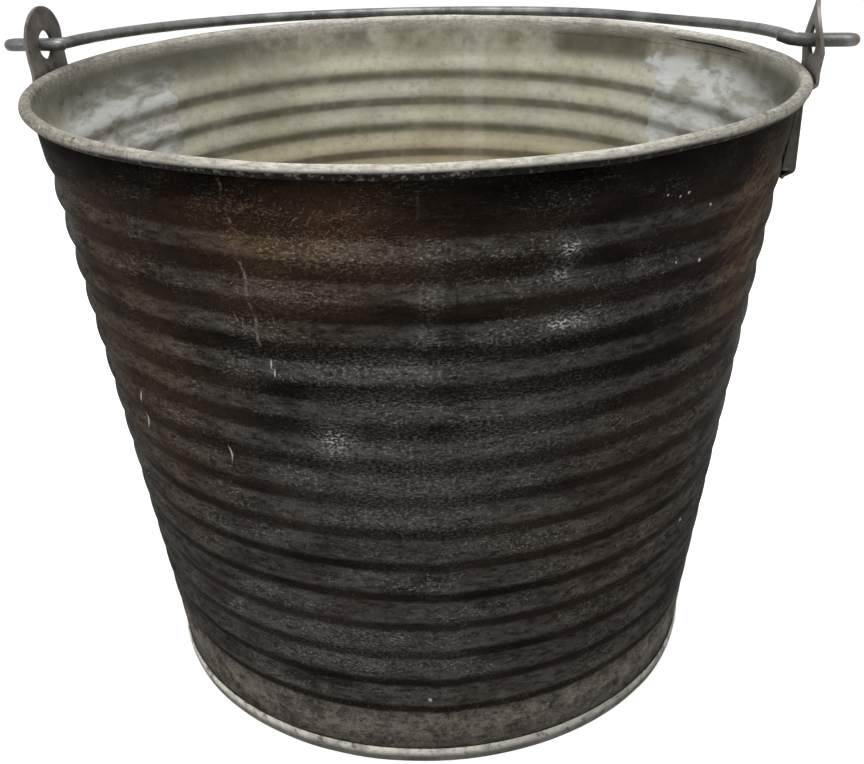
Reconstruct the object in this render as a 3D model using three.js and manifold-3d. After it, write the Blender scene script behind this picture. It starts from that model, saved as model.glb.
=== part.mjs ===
import * as THREE from 'three';
import { mergeVertices } from 'three/addons/utils/BufferGeometryUtils.js';
import Module from 'manifold-3d';

// Galvanised pail with a wire bail, in millimetres.
// It stands on z = 0 around the Z axis, the bail swings about X, and the front is -Y.

// Fits
const clearance = 0.3;
const hairpinGap = 0.6;
const holePlay = 0.6;

// Wall
const rimRadius = 151.8;
const rimHeight = 253;
const footRadius = 117.8;
const wallSheet = 0.6;
const rimWireRadius = 1.5;
const curlTurn = THREE.MathUtils.degToRad(305);
const ribCount = 14;
const ribPitch = 14.7;
const ribDepth = 1.4;
const firstGrooveDrop = 22;
const seamWidth = 11;
const seamStep = 0.7;
const seamAngles = [-80, 89].map(THREE.MathUtils.degToRad);

// Bottom
const bottomSheet = 0.7;
const panHeight = 12;
const panCorner = 3;
const hemHeight = 7;

// Ears
const earSheet = 1.4;
const earWidth = 34;
const headRadius = 15.4;
const tongueWidth = 30;
const tongueDrop = 48.5;
const webDrop = 36;
const webFootOut = 3.8;
const holeRise = 12.3;
const jogDrop = 1.8;
const earPoses = {
  left: { side: -1, headOut: 4.2, headLean: 0, headTwist: -4, twistFrom: 3, tailRun: 10 },
  right: { side: 1, headOut: 3.6, headLean: 0, headTwist: -6, twistFrom: 4, tailRun: 18 },
};

// Rivets
const rivetRadius = 2;
const rivetHeadRadius = 3.2;
const rivetHeadHeight = 1.2;
const rivetHeadFlat = 1.8;
const rivetHeadEdge = 0.5;
const rivetSink = 2.9;
const rivetSpread = 10;
const rivetBoreLength = 15;

// Bail
const bailWireRadius = 2.4;
const bailInset = 2.5;
const bailBend = 6;
const hairpinReach = 12;

// Facets
const roundFacets = 48;
const curlFacets = 10;
const wireFacets = 8;
const rivetFacets = 12;
const holeFacets = 24;
const neckFacets = 8;
const arcFacets = 40;
const weldReach = 1e-4;

// Sizes that follow from the ones above
const curlInner = rimWireRadius + clearance;
const curlOuter = curlInner + wallSheet;
const wallTopRadius = rimRadius - curlInner;
const taper = (wallTopRadius - footRadius) / rimHeight;
const firstGroove = rimHeight - firstGrooveDrop;
const wallFoot = bottomSheet + clearance;
const strandOffset = bailWireRadius + hairpinGap / 2;
const holeRadius = strandOffset + bailWireRadius + holePlay;
const earSide = earWidth / 2;
const webTop = rimHeight - 2 * curlOuter;
const rivetHeight = webTop - rivetSink;
const bailArc = rimRadius - bailInset;
const webFoot = rimHeight - webDrop + earSheet;
const webTopReach = wallRadius(webTop) + clearance + earSheet / 2;
const webFootReach = wallRadius(webFoot) + webFootOut + earSheet / 2;

const zinc = new THREE.MeshStandardMaterial({ color: 0x8c897d, roughness: 0.6, metalness: 0.7 });
const patina = new THREE.MeshStandardMaterial({ color: 0x3a3532, roughness: 0.55, metalness: 0.6 });
const earSteel = new THREE.MeshStandardMaterial({ color: 0x5a554e, roughness: 0.6, metalness: 0.7 });
const bailSteel = new THREE.MeshStandardMaterial({ color: 0x55565a, roughness: 0.45, metalness: 0.8 });

const wasm = await Module();
wasm.setup();

function solidOf(geometry) {
  const bare = geometry.clone();
  bare.deleteAttribute('normal');
  bare.deleteAttribute('uv');
  const merged = mergeVertices(bare, weldReach);
  const vertProperties = new Float32Array(merged.attributes.position.array);
  const triVerts = new Uint32Array(merged.index.array);
  return new wasm.Manifold(new wasm.Mesh({ numProp: 3, vertProperties, triVerts }));
}

function geometryOf(solid) {
  const { vertProperties, triVerts } = solid.getMesh();
  const geometry = new THREE.BufferGeometry();
  geometry.setAttribute('position', new THREE.BufferAttribute(vertProperties, 3));
  geometry.setIndex(new THREE.BufferAttribute(triVerts, 1));
  geometry.computeVertexNormals();
  return geometry;
}

function point(x, y) {
  return new THREE.Vector2(x, y);
}

// A profile drawn as radius and height, turned around Z
function revolve(profile, facets = roundFacets) {
  return new THREE.LatheGeometry(profile, facets).rotateX(Math.PI / 2);
}

// An outline drawn in X and Z, given a depth centred on y
function slabAlongY(outline, depth, y = 0) {
  const slab = new THREE.ExtrudeGeometry(new THREE.Shape(outline), { depth, bevelEnabled: false });
  return slab.rotateX(Math.PI / 2).translate(0, y + depth / 2, 0);
}

// The outer face of the wall, over its ribs' crests
function wallRadius(z) {
  return wallTopRadius - taper * (rimHeight - z);
}

// The wall's outer face from the foot to the rim: plain band, ribs, plain band
function ribbedFace(offset) {
  const lastCrest = firstGroove - (ribCount + 0.5) * ribPitch;
  const face = [point(wallRadius(wallFoot) + offset, wallFoot)];
  for (let half = 0; half <= 2 * ribCount + 2; half += 1) {
    const z = lastCrest + half * ribPitch / 2;
    const dip = half % 2 === 1 ? ribDepth : 0;
    face.push(point(wallRadius(z) - dip + offset, z));
  }
  return face;
}

// The curl's arc around the rim wire, from the wall over the top to its open end
function curlArc(radius) {
  const arc = [];
  for (let step = 0; step <= curlFacets; step += 1) {
    const angle = Math.PI - curlTurn * step / curlFacets;
    arc.push(point(rimRadius + radius * Math.cos(angle), rimHeight + radius * Math.sin(angle)));
  }
  return arc;
}

// One lapped strip, following the ribs, as wide as the overlap of the two sheet edges
function seamLap(angle) {
  const inside = ribbedFace(-wallSheet / 2);
  const outside = ribbedFace(seamStep);
  const ring = [...outside, ...inside.reverse(), outside[0]];
  const lapFoot = hemHeight + clearance;
  const slice = new THREE.BoxGeometry(rimRadius, seamWidth, webTop - lapFoot);
  slice.translate(rimRadius, 0, (webTop + lapFoot) / 2);
  slice.rotateZ(angle);
  return solidOf(revolve(ring)).intersect(solidOf(slice));
}

// A turned face lies inside its true circle between two facets' edges
function facetRadius(radius, angle) {
  const half = Math.PI / roundFacets;
  const pastEdge = THREE.MathUtils.euclideanModulo(angle, 2 * half);
  return radius * Math.cos(half) / Math.cos(pastEdge - half);
}

// Where a rivet crosses the wall: its own Z runs out along the wall's normal
function rivetPlace(side, y) {
  const turn = Math.asin(y / wallRadius(rivetHeight)) * side + (side < 0 ? Math.PI : 0);
  const radius = facetRadius(wallRadius(rivetHeight), turn);
  const place = new THREE.Matrix4().makeRotationZ(turn);
  place.multiply(new THREE.Matrix4().makeTranslation(radius, 0, rivetHeight));
  return place.multiply(new THREE.Matrix4().makeRotationY(Math.PI / 2 + Math.atan(taper)));
}

function rivetBore(side, y) {
  const bore = new THREE.CylinderGeometry(
    rivetRadius + clearance,
    rivetRadius + clearance,
    rivetBoreLength,
    rivetFacets,
  );
  return solidOf(bore.rotateX(Math.PI / 2).applyMatrix4(rivetPlace(side, y)));
}

function wallGeometry() {
  const outer = ribbedFace(0);
  const inner = ribbedFace(-wallSheet).reverse();
  const profile = [...outer, ...curlArc(curlInner), ...curlArc(curlOuter).reverse(), ...inner, outer[0]];
  let wall = solidOf(revolve(profile));
  for (const angle of seamAngles) {
    wall = wall.add(seamLap(angle));
  }
  for (const { side } of Object.values(earPoses)) {
    for (const y of [-rivetSpread, rivetSpread]) {
      wall = wall.subtract(rivetBore(side, y));
    }
  }
  return geometryOf(wall);
}

// A raised pan whose flange drops inside the wall, turns under its edge and stands up outside it
function bottomGeometry() {
  const flangeOuter = (z) => wallRadius(z) - wallSheet - clearance;
  const flangeInner = (z) => flangeOuter(z) - bottomSheet;
  const hemInner = (z) => wallRadius(z) + clearance;
  const hemOuter = (z) => hemInner(z) + bottomSheet;
  const roll = bottomSheet / 2;
  const panUnder = panHeight - bottomSheet;
  return revolve([
    point(0, panUnder),
    point(flangeInner(panUnder) - panCorner, panUnder),
    point(flangeInner(panHeight - panCorner), panHeight - panCorner),
    point(flangeInner(roll), roll),
    point(flangeInner(0) + roll, 0),
    point(hemOuter(0) - roll, 0),
    point(hemOuter(roll), roll),
    point(hemOuter(hemHeight - roll), hemHeight - roll),
    point(hemOuter(hemHeight) - roll, hemHeight),
    point(hemInner(hemHeight), hemHeight - roll / 2),
    point(hemInner(bottomSheet), bottomSheet),
    point(flangeOuter(bottomSheet), bottomSheet),
    point(flangeOuter(panHeight - panCorner), panHeight - panCorner),
    point(flangeOuter(panHeight) - panCorner, panHeight),
    point(0, panHeight),
  ]);
}

// A plate's edge view: a line of points given a thickness
function plateOutline(line, thickness) {
  const left = [];
  const right = [];
  line.forEach((at, index) => {
    const before = line[Math.max(index - 1, 0)];
    const after = line[Math.min(index + 1, line.length - 1)];
    const inward = at.clone().sub(before).normalize();
    const onward = after.clone().sub(at).normalize();
    const along = inward.clone().add(onward).normalize();
    const across = point(-along.y, along.x);
    const bend = index === 0 || index === line.length - 1 ? 1 : along.dot(onward);
    left.push(at.clone().addScaledVector(across, thickness / 2 / bend));
    right.push(at.clone().addScaledVector(across, -thickness / 2 / bend));
  });
  return [...left, ...right.reverse()];
}

// The flat web leans a little less than the wall
function webReach(z) {
  return THREE.MathUtils.mapLinear(z, webFoot, webTop, webFootReach, webTopReach);
}

// The head is bent out of true: it turns about its own upright line, more towards its top
function twistHead(geometry, { headOut, headTwist, twistFrom }) {
  const place = geometry.attributes.position;
  const at = new THREE.Vector3();
  const pivot = new THREE.Vector3(rimRadius + headOut, 0, 0);
  const upright = new THREE.Vector3(0, 0, 1);
  for (let index = 0; index < place.count; index += 1) {
    at.fromBufferAttribute(place, index).sub(pivot);
    const share = THREE.MathUtils.clamp((at.z - rimHeight - twistFrom) / headRadius, 0, 1);
    at.applyAxisAngle(upright, THREE.MathUtils.degToRad(headTwist) * share).add(pivot);
    place.setXYZ(index, at.x, at.y, at.z);
  }
  geometry.computeVertexNormals();
  return geometry;
}

// An ear, built at +X and turned to its own side: twisted head, neck, boxed web and tongue
function earGeometry(pose) {
  const holeReach = rimRadius + pose.headOut;
  const lean = Math.tan(THREE.MathUtils.degToRad(pose.headLean));
  const onWall = (z) => wallRadius(z) + clearance;
  const mid = earSheet / 2;
  const tongueFoot = rimHeight - tongueDrop;
  const tongueTop = rimHeight - webDrop - earSheet;
  const besideRim = rimRadius + curlOuter + clearance + mid;
  const holeHeight = rimHeight + holeRise;
  const headTop = headRadius + earSheet;
  const neck = new THREE.CubicBezierCurve(
    point(besideRim, rimHeight),
    point(besideRim, rimHeight + holeRise / 2),
    point(holeReach - holeRise / 2 * lean, rimHeight + holeRise / 2),
    point(holeReach, holeHeight),
  );
  const line = [
    point(onWall(tongueFoot) + mid, tongueFoot),
    point(onWall(tongueTop) + mid, tongueTop),
    point(webFootReach, webFoot),
    point(webTopReach, webTop),
    point(besideRim, rimHeight - jogDrop),
    ...neck.getPoints(neckFacets),
    point(holeReach + headTop * lean, holeHeight + headTop),
  ];
  const plate = solidOf(slabAlongY(plateOutline(line, earSheet), earWidth));

  const front = new THREE.Shape();
  front.moveTo(-tongueWidth / 2, tongueFoot - earSheet);
  front.lineTo(tongueWidth / 2, tongueFoot - earSheet);
  front.lineTo(tongueWidth / 2, tongueTop);
  front.lineTo(earSide, webFoot);
  front.lineTo(earSide, rimHeight);
  front.absarc(0, holeHeight, headRadius, 0, Math.PI);
  front.lineTo(-earSide, rimHeight);
  front.lineTo(-earSide, webFoot);
  front.lineTo(-tongueWidth / 2, tongueTop);
  const stamping = new THREE.ExtrudeGeometry(front, { depth: rimRadius, bevelEnabled: false });
  const faceOutward = new THREE.Matrix4().makeBasis(
    new THREE.Vector3(0, 1, 0),
    new THREE.Vector3(0, 0, 1),
    new THREE.Vector3(1, 0, 0),
  );
  let ear = plate.intersect(solidOf(stamping.applyMatrix4(faceOutward).translate(rimRadius / 2, 0, 0)));

  const flangeSide = earSide - earSheet;
  const besideWall = (z) => Math.sqrt(onWall(z) ** 2 - flangeSide ** 2);
  const flange = [
    point(besideWall(webFoot), webFoot),
    point(webFootReach, webFoot),
    point(webTopReach, webTop),
    point(besideWall(webTop), webTop),
  ];
  for (const edge of [-1, 1]) {
    ear = ear.add(solidOf(slabAlongY(flange, earSheet, edge * (earSide - mid))));
    ear = ear.subtract(rivetBore(1, edge * rivetSpread));
  }
  const hole = new THREE.CylinderGeometry(holeRadius, holeRadius, 2 * headRadius, holeFacets);
  ear = ear.subtract(solidOf(hole.rotateZ(Math.PI / 2).translate(holeReach, 0, holeHeight)));
  return twistHead(geometryOf(ear), pose).rotateZ(pose.side < 0 ? Math.PI : 0);
}

// A low head outside the ear's web, a shank through web and wall, and a head inside
function rivetGeometry() {
  const radius = wallRadius(rivetHeight);
  const turn = Math.asin(rivetSpread / radius);
  const webFace = webReach(rivetHeight) + earSheet / 2 - facetRadius(radius, turn) * Math.cos(turn);
  const seat = webFace + rivetHeadRadius * (taper + Math.tan(turn)) + clearance;
  const inside = -wallSheet - clearance;
  return revolve([
    point(0, inside - rivetHeadHeight),
    point(rivetHeadFlat, inside - rivetHeadHeight),
    point(rivetHeadRadius, inside - rivetHeadEdge),
    point(rivetHeadRadius, inside),
    point(rivetRadius, inside),
    point(rivetRadius, seat),
    point(rivetHeadRadius, seat),
    point(rivetHeadRadius, seat + rivetHeadEdge),
    point(rivetHeadFlat, seat + rivetHeadHeight),
    point(0, seat + rivetHeadHeight),
  ], rivetFacets);
}

// At rest the crown leans on the rear rim, at 45 degrees up its back
const rest = (curlOuter + bailWireRadius + clearance) * Math.SQRT1_2;
const crown = point(rimRadius + rest, rest - holeRise);
const bailReach = crown.length();

// A path that runs straight from one station to the next
class StationPath extends THREE.Curve {
  constructor(stations) {
    super();
    this.stations = stations;
  }

  getPoint(t, target = new THREE.Vector3()) {
    const last = this.stations.length - 1;
    const index = Math.min(Math.floor(t * last), last - 1);
    return target.lerpVectors(this.stations[index], this.stations[index + 1], t * last - index);
  }

  getUtoTmapping(u) {
    return u;
  }
}

// Half of the bail, from the crown to the tail: big arc, bend, strand through the ear, hairpin, tail
function bailHalf({ side, headOut, tailRun }) {
  const stations = [];
  const holeReach = rimRadius + headOut;
  const centre = bailReach - bailArc;
  const bendHeight = strandOffset + bailBend;
  const bendReach = Math.sqrt((bailArc + bailBend) ** 2 - (bendHeight - centre) ** 2);
  const arcEnd = Math.atan2(bendHeight - centre, bendReach);
  const hairpin = holeReach + hairpinReach;
  const put = (x, y) => stations.push(new THREE.Vector3(side * x, y, 0));
  for (let step = 1; step <= arcFacets / 2; step += 1) {
    const angle = Math.PI / 2 + (arcEnd - Math.PI / 2) * 2 * step / arcFacets;
    put(bailArc * Math.cos(angle), centre + bailArc * Math.sin(angle));
  }
  for (let step = 1; step <= wireFacets / 2; step += 1) {
    const angle = arcEnd + Math.PI + (Math.PI / 2 - arcEnd) * 2 * step / wireFacets;
    put(bendReach + bailBend * Math.cos(angle), bendHeight + bailBend * Math.sin(angle));
  }
  for (let step = 0; step <= wireFacets; step += 1) {
    const angle = Math.PI * step / wireFacets;
    put(hairpin + strandOffset * Math.sin(angle), strandOffset * Math.cos(angle));
  }
  put(holeReach - tailRun, -strandOffset);
  return stations;
}

function bailGeometry() {
  const middle = new THREE.Vector3(0, bailReach, 0);
  const stations = [...bailHalf(earPoses.left).reverse(), middle, ...bailHalf(earPoses.right)];
  const section = new THREE.Shape().absarc(0, 0, bailWireRadius, 0, 2 * Math.PI);
  return new THREE.ExtrudeGeometry(section, {
    steps: stations.length - 1,
    curveSegments: wireFacets / 2,
    extrudePath: new StationPath(stations),
  });
}

const pail = new THREE.Group();

function addPiece(name, geometry, material, parent = pail) {
  const mesh = new THREE.Mesh(geometry, material);
  mesh.name = name;
  parent.add(mesh);
  return mesh;
}

addPiece('wall', wallGeometry(), patina);
addPiece('rim_wire', new THREE.TorusGeometry(rimRadius, rimWireRadius, wireFacets, roundFacets), zinc)
  .position.z = rimHeight;
addPiece('bottom', bottomGeometry(), zinc);

for (const [place, pose] of Object.entries(earPoses)) {
  addPiece(`ear_${place}`, earGeometry(pose), earSteel);
  for (const [row, y] of [['front', -rivetSpread], ['back', rivetSpread]]) {
    addPiece(`rivet_${place}_${row}`, rivetGeometry(), zinc).applyMatrix4(rivetPlace(pose.side, y));
  }
}

const bail = addPiece('bail', bailGeometry(), bailSteel);
bail.position.z = rimHeight + holeRise;
bail.rotation.x = crown.angle();

export default pail;
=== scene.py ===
import math

import bpy
import numpy as np
from mathutils import Matrix, Quaternion, Vector, noise


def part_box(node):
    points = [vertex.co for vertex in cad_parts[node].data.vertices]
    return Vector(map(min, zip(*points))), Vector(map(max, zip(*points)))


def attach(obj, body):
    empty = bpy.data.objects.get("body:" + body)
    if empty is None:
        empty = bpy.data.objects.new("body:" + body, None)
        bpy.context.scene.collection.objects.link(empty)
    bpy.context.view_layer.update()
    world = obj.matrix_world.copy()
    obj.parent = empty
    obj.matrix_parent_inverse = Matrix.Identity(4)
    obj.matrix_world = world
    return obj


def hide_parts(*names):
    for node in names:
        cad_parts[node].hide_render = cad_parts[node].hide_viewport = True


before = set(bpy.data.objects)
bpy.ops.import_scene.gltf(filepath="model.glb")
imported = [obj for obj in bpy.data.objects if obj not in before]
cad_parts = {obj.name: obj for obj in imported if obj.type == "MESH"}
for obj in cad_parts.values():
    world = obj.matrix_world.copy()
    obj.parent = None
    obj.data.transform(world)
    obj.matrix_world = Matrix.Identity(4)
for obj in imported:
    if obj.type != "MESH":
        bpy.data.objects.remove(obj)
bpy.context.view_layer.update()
mm = 0.001
print("frame loaded:", len(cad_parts), "nodes")

# the rim wire's own box gives the three sizes that the rest hangs on, in millimetres
wireLow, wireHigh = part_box("rim_wire")
rimWire = (wireHigh.z - wireLow.z) / 2 / mm
rimHeight = (wireHigh.z + wireLow.z) / 2 / mm
rimRadius = wireHigh.x / mm - rimWire


# the camera stands where the photograph was taken from
cameraSet = {
    "place": (66.2, -470.9, 339.4),
    "look": (-0.1197, 0.8959, -0.4278),
    "roll": 0.0277,
    "lens": 47.92,
    "sensor": 36,  # over the picture's width
    "nearest": 10,
}


def makeCamera():
    data = bpy.data.cameras.new("camera")
    data.sensor_width = cameraSet["sensor"]
    data.lens = cameraSet["lens"]
    data.clip_start = cameraSet["nearest"] * mm
    camera = bpy.data.objects.new("camera", data)
    bpy.context.scene.collection.objects.link(camera)
    camera.location = Vector(cameraSet["place"]) * mm
    aim = Vector(cameraSet["look"]).to_track_quat("-Z", "Y")
    camera.rotation_mode = "QUATERNION"
    camera.rotation_quaternion = aim @ Quaternion((0, 0, 1), -cameraSet["roll"])
    bpy.context.scene.camera = camera


makeCamera()
print("camera placed")


def smoothStep(low, high, value):
    share = min(max((value - low) / (high - low), 0), 1)
    return share * share * (3 - 2 * share)


def hump(value, middle, width):
    return math.exp(-(((value - middle) / width) ** 2))


def turnBetween(angle, middle):  # signed difference of two angles, in degrees
    return (angle - middle + 180) % 360 - 180


def filleted(corners, radius, steps=4):
    # rounds each inner corner of a line of 2D points
    line = [Vector(corners[0])]
    for before, at, after in zip(corners, corners[1:], corners[2:]):
        before, at, after = Vector(before), Vector(at), Vector(after)
        cut = min(radius, (at - before).length * 0.45, (after - at).length * 0.45)
        start = at + (before - at).normalized() * cut
        end = at + (after - at).normalized() * cut
        for step in range(steps + 1):
            share = step / steps
            line.append(start.lerp(at, share).lerp(at.lerp(end, share), share))
    line.append(Vector(corners[-1]))
    return line


def newPiece(name, points, faces, marks=None, corners=None):
    # points in millimetres; marks are named numbers on points; corners are UVs by point
    mesh = bpy.data.meshes.new(name)
    mesh.from_pydata([Vector(p) * mm for p in points], [], faces)
    for mark, values in (marks or {}).items():
        mesh.attributes.new(mark, "FLOAT", "POINT").data.foreach_set("value", values)
    if corners is not None:
        loops = np.empty(len(mesh.loops), np.int32)
        mesh.loops.foreach_get("vertex_index", loops)
        flat = np.asarray(corners, np.float32)[loops]
        starts = np.cumsum([0] + [len(face) for face in faces[:-1]])
        furthest = np.repeat(np.maximum.reduceat(flat[:, 0], starts), [len(face) for face in faces])
        around = 2 * math.pi * rimRadius * mm
        flat[:, 0] += around * (furthest - flat[:, 0] > around / 2)  # faces over the join at the left
        mesh.uv_layers.new(name="flat").data.foreach_set("uv", flat.ravel())
    mesh.polygons.foreach_set("use_smooth", [True] * len(mesh.polygons))
    piece = bpy.data.objects.new(name, mesh)
    bpy.context.scene.collection.objects.link(piece)
    return piece


def ringFaces(rows, columns, closedRows):
    faces = []
    for row in range(rows if closedRows else rows - 1):
        here, there = row * columns, (row + 1) % rows * columns
        for column in range(columns):
            beside = (column + 1) % columns
            faces.append((here + column, here + beside, there + beside, there + column))
    return faces


def wobble(angle, height, size, seed):  # slow, soft unevenness round the pail
    turn = math.radians(angle)
    reach = rimRadius / size
    return noise.noise(Vector((math.cos(turn) * reach, math.sin(turn) * reach, height / size + seed)))


def feed(tree, socket, value):
    if isinstance(value, bpy.types.NodeSocket):
        tree.links.new(value, socket)
    else:
        socket.default_value = value


def mathNode(tree, operation, first, second=0.5, clamp=False):
    node = tree.nodes.new("ShaderNodeMath")
    node.operation = operation
    node.use_clamp = clamp
    feed(tree, node.inputs[0], first)
    feed(tree, node.inputs[1], second)
    return node.outputs[0]


def times(tree, product, *factors):
    for factor in factors:
        product = mathNode(tree, "MULTIPLY", product, factor)
    return product


def plus(tree, first, second):
    return mathNode(tree, "ADD", first, second)


def higher(tree, first, second):
    return mathNode(tree, "MAXIMUM", first, second)


def spread(tree, value, low, high, fromLow=0.0, toHigh=1.0):
    # a soft step between two values; noise lies mostly between 0.3 and 0.7
    node = tree.nodes.new("ShaderNodeMapRange")
    node.interpolation_type = "SMOOTHSTEP"
    feed(tree, node.inputs["Value"], value)
    node.inputs["From Min"].default_value = low
    node.inputs["From Max"].default_value = high
    node.inputs["To Min"].default_value = fromLow
    node.inputs["To Max"].default_value = toHigh
    return node.outputs["Result"]


def blendColour(tree, share, first, second, way="MIX"):
    node = tree.nodes.new("ShaderNodeMix")
    node.data_type = "RGBA"
    node.blend_type = way
    feed(tree, node.inputs[0], share)
    for socket, colour in ((node.inputs[6], first), (node.inputs[7], second)):
        feed(tree, socket, colour if isinstance(colour, bpy.types.NodeSocket) else (*colour, 1))
    return node.outputs[2]


def mark(tree, name):
    node = tree.nodes.new("ShaderNodeAttribute")
    node.attribute_name = name
    return node.outputs["Fac"]


def placed(tree, source, stretch=(1, 1, 1), turn=0.0, shift=(0, 0, 0), way="POINT"):
    coordinates = tree.nodes.new("ShaderNodeTexCoord")
    node = tree.nodes.new("ShaderNodeMapping")
    node.vector_type = way
    tree.links.new(coordinates.outputs[source], node.inputs["Vector"])
    node.inputs["Scale"].default_value = stretch
    node.inputs["Rotation"].default_value = (0, 0, turn)
    node.inputs["Location"].default_value = shift
    return node.outputs["Vector"]


def grain(tree, scale, detail=3.0, rough=0.55, bend=0.0, source="Object", **place):
    node = tree.nodes.new("ShaderNodeTexNoise")
    tree.links.new(placed(tree, source, **place), node.inputs["Vector"])
    node.inputs["Scale"].default_value = scale
    node.inputs["Detail"].default_value = detail
    node.inputs["Roughness"].default_value = rough
    node.inputs["Distortion"].default_value = bend
    return node.outputs["Fac"]


def specks(tree, scale, size, keep):
    # small round spots: of the cells of a Voronoi pattern, only some have one
    node = tree.nodes.new("ShaderNodeTexVoronoi")
    tree.links.new(placed(tree, "Object"), node.inputs["Vector"])
    node.inputs["Scale"].default_value = scale
    chosen = spread(tree, node.outputs["Color"], 1 - keep, 1.001 - keep)
    return times(tree, spread(tree, node.outputs["Distance"], size, size * 0.4), chosen)


def scratches(tree, turn, length, width, amount, seed, bend=0.6):
    # short lines lying one way on the flat of the sheet, lengths and widths in millimetres
    lines = grain(tree, 1, 1.0, 0.5, bend, "UV", turn=turn, shift=(seed, seed / 3, 0),
                  stretch=(length * mm, width * mm, 1), way="TEXTURE")
    return spread(tree, lines, 0.78 - amount, 0.84 - amount)


def spotAt(tree, place, size, turn=0.0, soft=0.4, ragged=0.5, clump=150):
    # a soft-edged spot round a place, sizes in millimetres, with a ragged outline
    local = placed(tree, "Object", [s * mm for s in size], math.radians(turn),
                   [p * mm for p in place], "TEXTURE")
    reach = tree.nodes.new("ShaderNodeVectorMath")
    reach.operation = "LENGTH"
    tree.links.new(local, reach.inputs[0])
    torn = times(tree, grain(tree, clump, 4, 0.6), ragged * 2)
    edge = 1 + ragged
    return spread(tree, plus(tree, reach.outputs["Value"], torn), edge + soft, edge - soft)


leanPivot = 215  # the height that a leaning line turns about


def pastAngle(tree, angle, soft, ragged=0.0, clump=60, lean=0.0):
    # 1 on the wall past an upright line at an angle round the pail, 0 before it
    local = placed(tree, "Object", turn=math.radians(angle), way="TEXTURE")
    split = tree.nodes.new("ShaderNodeSeparateXYZ")
    tree.links.new(local, split.inputs[0])
    torn = times(tree, grain(tree, clump, 3, 0.6), ragged * mm)
    above = mathNode(tree, "SUBTRACT", split.outputs["Z"], leanPivot * mm)
    across = plus(tree, plus(tree, split.outputs["Y"], torn), times(tree, above, lean))
    middle = ragged * mm / 2
    return spread(tree, across, middle - soft * mm, middle + soft * mm)


def between(tree, first, last):
    # 1 on the wall between two upright lines, each with what pastAngle takes
    return times(tree, pastAngle(tree, *first), mathNode(tree, "SUBTRACT", 1.0, pastAngle(tree, *last)))


def newMaterial(name, metal, gloss):
    material = bpy.data.materials.new(name)
    material.use_nodes = True
    tree = material.node_tree
    shader = tree.nodes["Principled BSDF"]
    shader.inputs["Metallic"].default_value = metal
    shader.inputs["Specular IOR Level"].default_value = gloss
    return material, tree, shader


def finishPaint(tree, shader, colour, roughness, height, depth):
    # colour, roughness and fine bumps, with their depth in millimetres
    tree.links.new(colour, shader.inputs["Base Color"])
    tree.links.new(roughness, shader.inputs["Roughness"])
    node = tree.nodes.new("ShaderNodeBump")
    node.inputs["Strength"].default_value = 1
    node.inputs["Distance"].default_value = depth * mm
    tree.links.new(height, node.inputs["Height"])
    tree.links.new(node.outputs["Normal"], shader.inputs["Normal"])


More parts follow.
